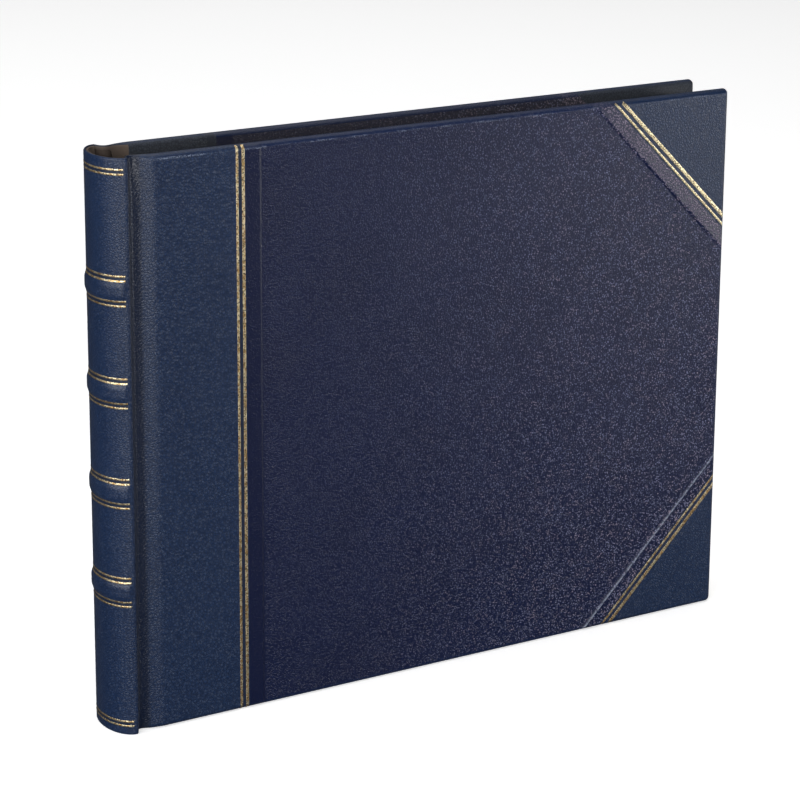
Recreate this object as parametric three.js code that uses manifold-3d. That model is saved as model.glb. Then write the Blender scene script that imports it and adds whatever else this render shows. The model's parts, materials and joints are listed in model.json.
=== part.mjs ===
// Half-bound landscape pilot logbook, standing on its tail edges.
// Millimetres, +Z up (tail to head), +X from spine to fore edge, front cover on the -Y side.
// Binding coordinates: x = 0 on the cover hinges, y = 0 on the mid-plane of the text block.
// The finished group is shifted along X so that its origin is the centre of the footprint.
import * as THREE from "three";
import { mergeVertices } from "three/addons/utils/BufferGeometryUtils.js";
import Module from "manifold-3d";

const wasm = await Module();
wasm.setup();

// ---- Driving dimensions -------------------------------------------------------------------
const HEIGHT = 203; // cover, tail to head
const WIDTH = 245; // cover, hinge to fore edge
const THICKNESS = 25; // closed book, outer face of one cover to the other
const GAP = 0.3; // clearance between neighbouring pieces, where the glue is

const SKIN = 0.5; // covering material
const BOARD = 2.4; // grey binder's board
const TURN_IN = 0.3; // covering pared thin where it is turned over the edges
const PASTEDOWN = 0.2; // endpaper glued to the inside of the board
const TURN_IN_WIDTH = 15;
const PASTEDOWN_INSET = 6; // margin of turn-in left showing round the pastedown

const BOARD_START = 3.6; // spine-side edge of the board, from the hinge
const BOARD_BEVEL = 3.4; // width of the bevel beside the joint
const BOARD_CORNER = 2.6; // the board's fore-edge corners are cut off, from the covered corner
const LEATHER_EDGE = 41.5; // where the quarter leather stops on the board
const CORNER_LEG = 54.5; // leather corner, along the head or the fore edge
const GROOVE_START = 1.2; // first rigid part of the cover beside the hinge
const GROOVE_DEPTH = 1.2; // how far the joint dips below the cover's face

const SPINE_X = -2.5; // centre of the spine's ellipse
const SPINE_BULGE = 7.5; // its half axis along X
const SPINE_PROUD = 0.5; // how far each shoulder stands out of the cover's face
const SPINE_SPREAD = THREE.MathUtils.degToRad(102); // half of the leather's arc
const SPINE_SKIN = 0.7;
const INLAY = 0.8; // flexible card inside the spine
const INLAY_SPREAD = THREE.MathUtils.degToRad(88);
const BAND_THICKNESS = 0.6; // false raised bands under the leather
const BAND_WIDTH = 5;
const BAND_MIDDLE = 105.1; // height of the middle of the row of bands, from the tail
const BAND_PITCH = 35.3;
const BAND_COUNT = 4;
const BAND_SPREAD = THREE.MathUtils.degToRad(76);

const SQUARE = 5.5; // overhang of the boards beyond the leaves
const FOLD_X = 2.5; // fold axis of every section
const SECTIONS = 10;
const SECTION_PITCH = 1.47;
const SECTION = 1.17; // one gathered section of ten leaves
const FOLD_RADIUS = 0.35; // the leaves are nipped thin at the sewn fold
const NIP = 3; // length over which a section thickens from its fold
const FLYLEAF = 0.25;
const FLYLEAF_START = 1.9;

const TAPE = { thickness: 0.35, width: 14, count: 3, pitch: 48 };
const MULL = { thickness: 0.3, width: 26, margin: 20 };
const BACK_LINING = { thickness: 0.35, margin: 3 };
const KETTLE = { radius: 0.18, inset: 9 };
const HEADBAND = { radius: 0.7, tail: 16, tailThickness: 0.3 };

const CURVE_STEPS = 16; // straight steps along a curve
const SMALL_CURVE_STEPS = 8;
const SEAT = 0.3; // how deep one solid is sunk into another before they are joined

// ---- Derived positions --------------------------------------------------------------------
const FACE_Y = -THICKNESS / 2; // outer face of the front cover
const BOARD_Y = FACE_Y + SKIN + GAP;
const TURN_IN_Y = BOARD_Y + BOARD + GAP;
const PASTEDOWN_Y = TURN_IN_Y + TURN_IN + GAP;
const INNER_Y = PASTEDOWN_Y + PASTEDOWN;
const GROOVE_Y = FACE_Y + GROOVE_DEPTH;
const LEAF_TOP = HEIGHT - SQUARE;
const LEAF_END = WIDTH - SQUARE;
const BLOCK_HALF = ((SECTIONS - 1) * SECTION_PITCH + SECTION) / 2;
const SPINE_HALF = THICKNESS / 2 + SPINE_PROUD;

// ---- Materials ----------------------------------------------------------------------------
const material = (color, roughness, metalness = 0) =>
  new THREE.MeshStandardMaterial({ color, roughness, metalness });
const LEATHER = material(0x2b3f5c, 0.5);
const SIDE = material(0x1b2144, 0.55);
const GREY_BOARD = material(0x8d877c, 0.9);
const CARD = material(0x8a7a69, 0.85);
const ENDPAPER = material(0xb9aa92, 0.85);
const PAGE = material(0xe9e2cf, 0.9);
const CLOTH = material(0xd9d4c6, 0.95);
const KRAFT = material(0x9c7f5a, 0.9);
const THREAD = material(0xe6e0d2, 0.8);
const SILK = material(0x2c3c66, 0.6);

// ---- Solid helpers ------------------------------------------------------------------------
function toSolid(geometry) {
  const bare = geometry.index ? geometry.toNonIndexed() : geometry.clone();
  bare.deleteAttribute("normal");
  bare.deleteAttribute("uv");
  const merged = mergeVertices(bare, 1e-4);
  return new wasm.Manifold(
    new wasm.Mesh({
      numProp: 3,
      vertProperties: merged.attributes.position.array,
      triVerts: new Uint32Array(merged.index.array),
    }),
  );
}

function toGeometry(solid) {
  const mesh = solid.getMesh();
  return new THREE.BufferGeometry()
    .setAttribute("position", new THREE.BufferAttribute(mesh.vertProperties, 3))
    .setIndex(new THREE.BufferAttribute(mesh.triVerts, 1));
}

// A box between two opposite corners, each given as [x, y, z].
function box(low, high) {
  const size = high.map((value, i) => value - low[i]);
  const centre = high.map((value, i) => (value + low[i]) / 2);
  return new THREE.BoxGeometry(...size).translate(...centre);
}

// A plan outline in XY, raised from one height to another.
function upright(shape, bottom, top) {
  return new THREE.ExtrudeGeometry(shape, {
    depth: top - bottom,
    bevelEnabled: false,
    curveSegments: CURVE_STEPS,
  }).translate(0, 0, bottom);
}

function outline(points) {
  return new THREE.Shape(points.map(([x, y]) => new THREE.Vector2(x, y)));
}

// Part of an elliptical ring round the spine, between two offsets from its outer surface.
// spread is half of the arc, measured from the middle of the spine.
function spineArc(inner, outer, spread) {
  const from = Math.PI - spread;
  const to = Math.PI + spread;
  const shape = new THREE.Shape();
  shape.absellipse(SPINE_X, 0, SPINE_BULGE + outer, SPINE_HALF + outer, from, to, false);
  shape.absellipse(SPINE_X, 0, SPINE_BULGE + inner, SPINE_HALF + inner, to, from, true);
  return shape;
}

function part(name, geometry, look) {
  const mesh = new THREE.Mesh(geometry, look);
  mesh.name = name;
  return mesh;
}

// ---- Covers -------------------------------------------------------------------------------
// The space between the outer skin and the turned-in layer, which the board fills.
function boardPocket() {
  return toSolid(
    box([0, FACE_Y + SKIN, SKIN], [WIDTH - SKIN, TURN_IN_Y, HEIGHT - SKIN]),
  );
}

// The opening inside the turn-ins, which only the pastedown covers.
function turnInWindow() {
  return toSolid(
    box(
      [0, TURN_IN_Y - GAP, TURN_IN_WIDTH],
      [WIDTH - TURN_IN_WIDTH, PASTEDOWN_Y, HEIGHT - TURN_IN_WIDTH],
    ),
  );
}

// Covering material wrapped round the board, cut to a region of the cover's face.
function wrapped(region) {
  const slab = toSolid(box([0, FACE_Y, 0], [WIDTH, TURN_IN_Y + TURN_IN, HEIGHT]));
  return slab.intersect(region).subtract(boardPocket()).subtract(turnInWindow());
}

// A right triangle at a fore-edge corner, as a prism through the whole cover.
function cornerPrism(leg, atHead) {
  const level = atHead ? HEIGHT : 0;
  const inward = atHead ? -leg : leg;
  const shape = outline([
    [WIDTH, level],
    [WIDTH - leg, level],
    [WIDTH, level + inward],
  ]);
  const prism = new THREE.ExtrudeGeometry(shape, { depth: THICKNESS, bevelEnabled: false });
  return toSolid(prism.rotateX(Math.PI / 2).translate(0, THICKNESS / 2, 0));
}

function boardSolid() {
  const back = BOARD_Y + BOARD;
  const end = WIDTH - SKIN - GAP;
  const shape = outline([
    [BOARD_START, back],
    [BOARD_START, BOARD_Y + GROOVE_DEPTH],
    [BOARD_START + BOARD_BEVEL, BOARD_Y],
    [end, BOARD_Y],
    [end, back],
  ]);
  return toSolid(upright(shape, SKIN + GAP, HEIGHT - SKIN - GAP))
    .subtract(cornerPrism(BOARD_CORNER, true))
    .subtract(cornerPrism(BOARD_CORNER, false));
}

// Leather from the joint groove up the bevel and on to the board, turned in at head and tail.
function quarterLeather() {
  const bevelEnd = BOARD_START + BOARD_BEVEL;
  const lip = new THREE.Shape();
  lip.moveTo(LEATHER_EDGE, FACE_Y);
  lip.lineTo(LEATHER_EDGE, FACE_Y + SKIN);
  lip.lineTo(bevelEnd, FACE_Y + SKIN);
  lip.lineTo(BOARD_START - GAP, GROOVE_Y + SKIN);
  lip.lineTo(GROOVE_START, GROOVE_Y + SKIN);
  lip.lineTo(GROOVE_START, GROOVE_Y);
  lip.quadraticCurveTo(BOARD_START, GROOVE_Y, bevelEnd, FACE_Y);
  const sheet = toSolid(upright(lip, 0, HEIGHT));
  const edges = toSolid(
    box(
      [BOARD_START, GROOVE_Y + SEAT, 0],
      [LEATHER_EDGE, TURN_IN_Y + TURN_IN, HEIGHT],
    ),
  );
  return sheet.add(edges.subtract(boardPocket()).subtract(turnInWindow()));
}

function cover(side) {
  const corner = (atHead) => toGeometry(wrapped(cornerPrism(CORNER_LEG, atHead)));
  const sideRegion = toSolid(box([LEATHER_EDGE + GAP, FACE_Y, 0], [WIDTH, 0, HEIGHT]));
  const sheet = wrapped(
    sideRegion
      .subtract(cornerPrism(CORNER_LEG + 2 * GAP, true))
      .subtract(cornerPrism(CORNER_LEG + 2 * GAP, false)),
  );
  const pastedown = box(
    [BOARD_START, PASTEDOWN_Y, PASTEDOWN_INSET],
    [WIDTH - PASTEDOWN_INSET, INNER_Y, HEIGHT - PASTEDOWN_INSET],
  );
  const flap = box(
    [BOARD_START, TURN_IN_Y, MULL.margin],
    [BOARD_START + MULL.width, TURN_IN_Y + TURN_IN, HEIGHT - MULL.margin],
  );
  return [
    part(`${side}_board`, toGeometry(boardSolid()), GREY_BOARD),
    part(`${side}_quarter_leather`, toGeometry(quarterLeather()), LEATHER),
    part(`${side}_side_sheet`, toGeometry(sheet), SIDE),
    part(`${side}_corner_head`, corner(true), LEATHER),
    part(`${side}_corner_tail`, corner(false), LEATHER),
    part(`${side}_mull_flap`, flap, CLOTH),
    part(`${side}_pastedown`, pastedown, ENDPAPER),
  ];
}

// ---- Spine --------------------------------------------------------------------------------
function bandHeights() {
  return Array.from(
    { length: BAND_COUNT },
    (_, i) => BAND_MIDDLE + (i - (BAND_COUNT - 1) / 2) * BAND_PITCH,
  );
}

function spine() {
  const group = new THREE.Group();
  const bandTop = BAND_THICKNESS - SPINE_SKIN;
  const ridgeTop = bandTop + GAP + SPINE_SKIN;
  const slope = Math.atan((GAP + SPINE_SKIN) / SPINE_HALF); // leather past a band's end
  const clearance = Math.atan(GAP / SPINE_HALF);
  let leather = toSolid(upright(spineArc(-SPINE_SKIN, 0, SPINE_SPREAD), 0, HEIGHT));
  bandHeights().forEach((z, i) => {
    const half = BAND_WIDTH / 2;
    const reach = half + GAP + SPINE_SKIN;
    const ridge = spineArc(-SEAT, ridgeTop, BAND_SPREAD + slope);
    const room = spineArc(-SPINE_SKIN - SEAT, bandTop + GAP, BAND_SPREAD + clearance);
    leather = leather
      .add(toSolid(upright(ridge, z - reach, z + reach)))
      .subtract(toSolid(upright(room, z - half - GAP, z + half + GAP)));
    const band = spineArc(-SPINE_SKIN, bandTop, BAND_SPREAD);
    group.add(part(`raised_band_${i + 1}`, upright(band, z - half, z + half), CARD));
  });
  const inlayOuter = -SPINE_SKIN - GAP;
  const inlay = spineArc(inlayOuter - INLAY, inlayOuter, INLAY_SPREAD);
  group.add(
    part("spine_leather", toGeometry(leather), LEATHER),
    part("spine_inlay", upright(inlay, SKIN, HEIGHT - SKIN), CARD),
  );
  return group;
}

// ---- Text block ---------------------------------------------------------------------------
// One folded section: a stack of leaves, nipped at a round fold centred on its own axis.
function section(centreY) {
  const half = SECTION / 2;
  const shape = new THREE.Shape();
  shape.moveTo(FOLD_X + NIP, -half);
  shape.lineTo(LEAF_END, -half);
  shape.lineTo(LEAF_END, half);
  shape.lineTo(FOLD_X + NIP, half);
  shape.absarc(FOLD_X, 0, FOLD_RADIUS, Math.PI / 2, 1.5 * Math.PI, false);
  const solid = new THREE.ExtrudeGeometry(shape, {
    depth: LEAF_TOP - SQUARE,
    bevelEnabled: false,
    curveSegments: SMALL_CURVE_STEPS,
  });
  return solid.translate(0, centreY, SQUARE);
}

function flyleaf(side) {
  const near = INNER_Y + GAP;
  const sheet = box([FLYLEAF_START, near, SQUARE], [LEAF_END, near + FLYLEAF, LEAF_TOP]);
  return part(`${side}_flyleaf`, sheet, ENDPAPER);
}

// A strip glued flat across the backs of the sections, further from the folds as they build up.
function backStrip(name, depth, thickness, low, high, look) {
  const x = FOLD_X - FOLD_RADIUS - depth;
  return part(name, box([x - thickness, -BLOCK_HALF, low], [x, BLOCK_HALF, high]), look);
}

function headband(name, atHead) {
  const { radius, tail, tailThickness } = HEADBAND;
  const layers = [TAPE, MULL, BACK_LINING];
  const depth = layers.reduce((sum, layer) => sum + layer.thickness + GAP, GAP);
  const x = FOLD_X - FOLD_RADIUS - depth;
  const edge = LEAF_TOP + GAP;
  const bead = new THREE.Shape();
  bead.moveTo(x - tailThickness, edge - tail);
  bead.lineTo(x, edge - tail);
  bead.lineTo(x, edge);
  bead.lineTo(FOLD_X + radius, edge);
  bead.absarc(FOLD_X, edge, radius, 0, Math.PI / 2, false);
  bead.lineTo(x - tailThickness, edge + radius);
  const solid = new THREE.ExtrudeGeometry(bead, {
    depth: 2 * BLOCK_HALF,
    bevelEnabled: false,
    curveSegments: SMALL_CURVE_STEPS,
  });
  solid.rotateX(Math.PI / 2).translate(0, BLOCK_HALF, 0);
  if (!atHead) solid.rotateX(Math.PI).translate(0, 0, HEIGHT);
  return part(name, solid, SILK);
}

function kettleStitch(name, z) {
  const { radius } = KETTLE;
  const thread = new THREE.CylinderGeometry(radius, radius, 2 * BLOCK_HALF, SMALL_CURVE_STEPS);
  const x = FOLD_X - FOLD_RADIUS - GAP - radius;
  return part(name, thread.translate(x, 0, z), THREAD);
}

function textBlock() {
  const group = new THREE.Group();
  for (let i = 0; i < SECTIONS; i += 1) {
    const y = (i - (SECTIONS - 1) / 2) * SECTION_PITCH;
    const name = `section_${String(i + 1).padStart(2, "0")}`;
    group.add(part(name, section(y), PAGE));
  }
  let depth = GAP;
  for (let i = 0; i < TAPE.count; i += 1) {
    const z = HEIGHT / 2 + (i - (TAPE.count - 1) / 2) * TAPE.pitch;
    const half = TAPE.width / 2;
    group.add(
      backStrip(`sewing_tape_${i + 1}`, depth, TAPE.thickness, z - half, z + half, CLOTH),
    );
  }
  depth += TAPE.thickness + GAP;
  group.add(
    backStrip("mull_spine", depth, MULL.thickness, MULL.margin, HEIGHT - MULL.margin, CLOTH),
  );
  depth += MULL.thickness + GAP;
  const low = SQUARE + BACK_LINING.margin;
  group.add(
    backStrip("back_lining", depth, BACK_LINING.thickness, low, HEIGHT - low, KRAFT),
    headband("headband", true),
    headband("tailband", false),
    kettleStitch("kettle_stitch_head", LEAF_TOP - KETTLE.inset),
    kettleStitch("kettle_stitch_tail", SQUARE + KETTLE.inset),
  );
  return group;
}

// ---- Assembly -----------------------------------------------------------------------------
const frontHalf = new THREE.Group();
frontHalf.add(...cover("front"), flyleaf("front"));
const backHalf = new THREE.Group();
backHalf.add(...cover("back"), flyleaf("back"));
backHalf.scale.y = -1; // the back half is the mirror image of the front

const logbook = new THREE.Group();
logbook.add(frontHalf, backHalf, spine(), textBlock());

const extent = new THREE.Box3().setFromObject(logbook, true);
logbook.position.x = -(extent.min.x + extent.max.x) / 2;

export default logbook;
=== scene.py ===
"""Blender looks of the half-bound pilot logbook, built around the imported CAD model.

Shapes are written in binding millimetres: x from the cover hinges to the fore edge, y from the
mid-plane of the text block, z from the tail. The front half has negative y, and the back half is
its mirror image. Every mesh keeps its rest coordinates in the attribute "rest", which the
materials read, so that grain stays put on pieces that bend.
"""
import json
import math
import random

import bmesh
import bpy
from mathutils import Matrix, Vector

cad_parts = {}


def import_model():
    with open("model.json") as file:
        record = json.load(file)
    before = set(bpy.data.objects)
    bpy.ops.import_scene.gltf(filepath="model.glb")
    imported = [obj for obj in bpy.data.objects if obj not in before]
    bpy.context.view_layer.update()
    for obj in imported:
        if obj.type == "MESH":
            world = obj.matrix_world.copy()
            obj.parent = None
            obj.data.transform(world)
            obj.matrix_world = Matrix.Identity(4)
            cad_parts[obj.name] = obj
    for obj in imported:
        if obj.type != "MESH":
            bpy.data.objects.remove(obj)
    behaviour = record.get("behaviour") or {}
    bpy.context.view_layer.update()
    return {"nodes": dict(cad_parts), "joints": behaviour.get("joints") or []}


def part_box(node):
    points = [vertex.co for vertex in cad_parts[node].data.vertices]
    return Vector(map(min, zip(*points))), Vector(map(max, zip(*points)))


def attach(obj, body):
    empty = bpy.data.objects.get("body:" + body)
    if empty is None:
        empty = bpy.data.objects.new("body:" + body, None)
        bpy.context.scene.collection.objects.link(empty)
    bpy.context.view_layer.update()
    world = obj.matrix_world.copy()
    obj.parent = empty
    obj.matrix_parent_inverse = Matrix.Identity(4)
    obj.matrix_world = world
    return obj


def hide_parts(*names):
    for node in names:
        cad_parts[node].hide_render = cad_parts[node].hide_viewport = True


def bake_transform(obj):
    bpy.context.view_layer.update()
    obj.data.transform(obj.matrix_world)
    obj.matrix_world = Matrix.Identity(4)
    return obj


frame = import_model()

MM = 0.001
SEED = 20
JOINTS = {joint["name"]: joint for joint in frame["joints"]}
HINGE_X = JOINTS["front_cover_open"]["pos_m"][0]
FRONT, BACK = ("front", 1), ("back", -1)


# ---- Dimensions, the main ones taken from the imported model, the rest given ------------------
def span(node):
    """Lowest and highest corner of a CAD node, in binding millimetres."""
    low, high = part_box(node)
    shift = Vector((HINGE_X, 0, 0))
    return (low - shift) / MM, (high - shift) / MM


sheet_lo, sheet_hi = span("front_side_sheet")
board_lo, _ = span("front_board")
inlay_lo, inlay_hi = span("spine_inlay")
leaf_lo, leaf_hi = span("section_01")
WIDTH, HEIGHT = sheet_hi.x, sheet_hi.z
FACE, INSIDE = -sheet_lo.y, -sheet_hi.y  # outer and inner face of a cover, from the mid-plane
LEATHER_EDGE = span("front_quarter_leather")[1].x
CORNER_LEG = WIDTH - span("front_corner_head")[0].x
BANDS = [sum(corner.z for corner in span(f"raised_band_{i}")) / 2 for i in (1, 2, 3, 4)]
SECTIONS = [f"section_{i:02d}" for i in range(1, 11)]

SPINE_X = -2.5  # centre of the spine's ellipse
SPINE_SKIN = 0.7
LEATHER_TO_INLAY = 1.0  # from the leather's outer face to the card inside it
BULGE = SPINE_X - inlay_lo.x + LEATHER_TO_INLAY
SHOULDER = inlay_hi.y + LEATHER_TO_INLAY

SKIN = 0.5  # covering material on the board
TURN_IN = 0.3  # the same, pared where it is turned over
TURN_IN_WIDTH = 15
EDGE = 1.8  # how far in from its edge a covered board starts to round over, on the outer face
INNER_EDGE = 1.5  # the same, on the inner face
PLAN_RADIUS = 2.0  # covered board's corner, seen from the front
# Half of a covered edge, as shares of its reach and depth: a quick turn, then a slower round.
ROUND_OVER = (
    (1, 0), (0.93, 0.005), (0.86, 0.02), (0.79, 0.045), (0.72, 0.08), (0.64, 0.122), (0.556, 0.17),
    (0.47, 0.225), (0.39, 0.287), (0.315, 0.36), (0.24, 0.44), (0.17, 0.535), (0.11, 0.64),
    (0.06, 0.74), (0.03, 0.83), (0.01, 0.91), (0, 1),
)

GROOVE_X = 0.3  # bottom of the joint's groove
GROOVE_FLOOR = 10.65  # the same, from the mid-plane
GROOVE_PINCH = 1.1  # how much deeper the groove is at head and tail
PINCH_LENGTH = 8  # how far from head and tail it is deeper
BEVEL_END = 9.6  # where the rise from the groove meets the board's flat face
JOINT_INSIDE = 8.3  # inner face of the leather in the joint, from the mid-plane
LIP_START = 1.4  # where the wide turn-in of the board begins
RIM_DEPTH = 0.98  # thickness of the leather's folded rim at the spine's head and tail
RIM_LIP = 1.6  # how far its leather is turned down inside
RIM_EDGE = 0.8  # how far in from the rim the spine's leather starts to round over
FLAT = 0.25  # a narrow face beside every bend keeps the large faces shaded flat
BACKED_TO = 8.0  # the spine and joints are lined with paper as far as this

STRIP = {"spine": (5.2, 0.34), "corner": (4.95, 0.78)}  # cloth over the leather: width, height
CLOTH_DROP = 0.12  # the cloth on the board lies a little lower than the leather's face
CLOTH_EDGE = 0.3  # thickness of the cloth's cut edge on the leather
RAMP = 0.8  # length over which the cloth falls from the leather to the board

BAND_RISE = 0.65
BAND_FLAT = 1.4  # half of a band's flat top
BAND_FALL = 2.6  # length over which the leather falls from it to the spine

PAIR_OFFSET = 4.3  # from a band's centre to the pair of lines beside it
PAIR_INSET = (4.7, 4.1)  # from the head and from the tail to the centres of their pairs
LINE_STEP = 0.8  # from a pair's centre to each line
UPRIGHT_LINES = ((38.1, 0.45), (40.4, 0.56))  # from the hinge: place and half width
CORNER_LINES = ((49.4, 0.68), (52.8, 0.44))  # across the corners: leg and half width
FOIL_CROWN, FOIL_ROOT = 0.05, 0.08  # how far the foil rises over the leather, and goes into it
SPINE_LINE = 0.33  # half width of a line across the spine
SPINE_REACH = 79  # degrees from the spine's middle to the end of a line across it

FOLIOS = 5  # folded sheets in a section
NIP = 3.0  # length over which a section thickens from its sewn fold
FOLD_SHARE = 0.6  # a section's thickness at its fold, as a share of its full thickness
RULE_PITCH = 6.72  # ledger rows
COLUMN_PITCH = 19.12

# The endpaper where it crosses the joint: x and y at the text block and at the cover.
JOINT_PAPER = (Vector((1.9, -7.62)), Vector((3.7, -8.3)))
JOINT_PAPER_HALF = 0.05  # half of its thickness


# ---- Mesh helpers ---------------------------------------------------------------------------
def smooth(t):
    t = min(max(t, 0.0), 1.0)
    return t * t * (3 - 2 * t)


def wave(t):
    """Half a cosine, from 0 to 1."""
    return (1 - math.cos(math.pi * min(max(t, 0.0), 1.0))) / 2


def lerp(a, b, t):
    return a + (b - a) * t


def frame_x(x):
    return HINGE_X + x * MM


def to_frame(points, mirror=1):
    return [(frame_x(x), y * mirror * MM, z * MM) for x, y, z in points]


def add_object(name, data):
    obj = bpy.data.objects.new(name, data)
    bpy.context.scene.collection.objects.link(obj)
    return obj


def finish_mesh(obj, material, sharp=40):
    mesh = obj.data
    mesh.materials.clear()
    for entry in material if isinstance(material, list) else [material]:
        mesh.materials.append(entry)
    mesh.polygons.foreach_set("use_smooth", [True] * len(mesh.polygons))
    mesh.set_sharp_from_angle(angle=math.radians(sharp))
    rest = mesh.attributes.new("rest", "FLOAT_VECTOR", "POINT")
    rest.data.foreach_set("vector", [c for v in mesh.vertices for c in v.co])
    return obj


def outward(mesh):
    """Turns the faces of every closed shell to the outside."""
    shells = bmesh.new()
    shells.from_mesh(mesh)
    bmesh.ops.recalc_face_normals(shells, faces=shells.faces)
    shells.to_mesh(mesh)
    shells.free()


def make(name, points, faces, material, mirror=1, sharp=40, picks=None):
    """A mesh object from binding coordinates; mirror=-1 puts it on the back half."""
    mesh = bpy.data.meshes.new(name)
    if mirror < 0:
        faces = [tuple(reversed(face)) for face in faces]
    mesh.from_pydata(to_frame(points, mirror), [], faces)
    mesh.validate()
    outward(mesh)
    obj = finish_mesh(add_object(name, mesh), material, sharp)
    if picks:
        mesh.polygons.foreach_set("material_index", picks)
    return obj


def between(rings, size):
    """Quads between closed rings of size points each."""
    return [
        (i * size + j, i * size + k, (i + 1) * size + k, (i + 1) * size + j)
        for i in range(rings - 1)
        for j in range(size)
        for k in ((j + 1) % size,)
    ]


def loft(rings):
    """Faces between rings of equal length, and a face over each end."""
    size = len(rings[0])
    points = [p for ring in rings for p in ring]
    last = (len(rings) - 1) * size
    ends = [tuple(reversed(range(size))), tuple(last + j for j in range(size))]
    return points, between(len(rings), size) + ends


def merge(parts):
    """One list of points and faces from several."""
    points, faces = [], []
    for some_points, some_faces in parts:
        base = len(points)
        points += some_points
        faces += [tuple(base + i for i in face) for face in some_faces]
    return points, faces


def tube(path, radius, sides=8):
    """Points and faces of a round tube along a path of Vectors."""
    rings = []
    side = None
    for i, here in enumerate(path):
        ahead = path[min(i + 1, len(path) - 1)] - path[max(i - 1, 0)]
        ahead.normalize()
        if side is None:
            side = ahead.orthogonal().normalized()
        side = (side - ahead * side.dot(ahead)).normalized()
        other = ahead.cross(side)
        angles = (2 * math.pi * j / sides for j in range(sides))
        ring = [here + (side * math.cos(a) + other * math.sin(a)) * radius for a in angles]
        rings.append([tuple(point) for point in ring])
    return loft(rings)


def ribbon(surface, along, half_width):
    """A thin strip of foil lying on surface(s, offset) -> (point, normal)."""
    # Across the strip: the offset, and the height over the leather.
    section = [(t, FOIL_CROWN * (1 - t**4) + 0.01) for t in (-1, -0.8, -0.35, 0.35, 0.8, 1)]
    section += [(1, -FOIL_ROOT), (-1, -FOIL_ROOT)]
    rings = []
    for s in along:
        ring = []
        for t, height in section:
            point, normal = surface(s, t * half_width)
            ring.append(tuple(point + normal * height))
        rings.append(ring)
    return loft(rings)


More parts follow.
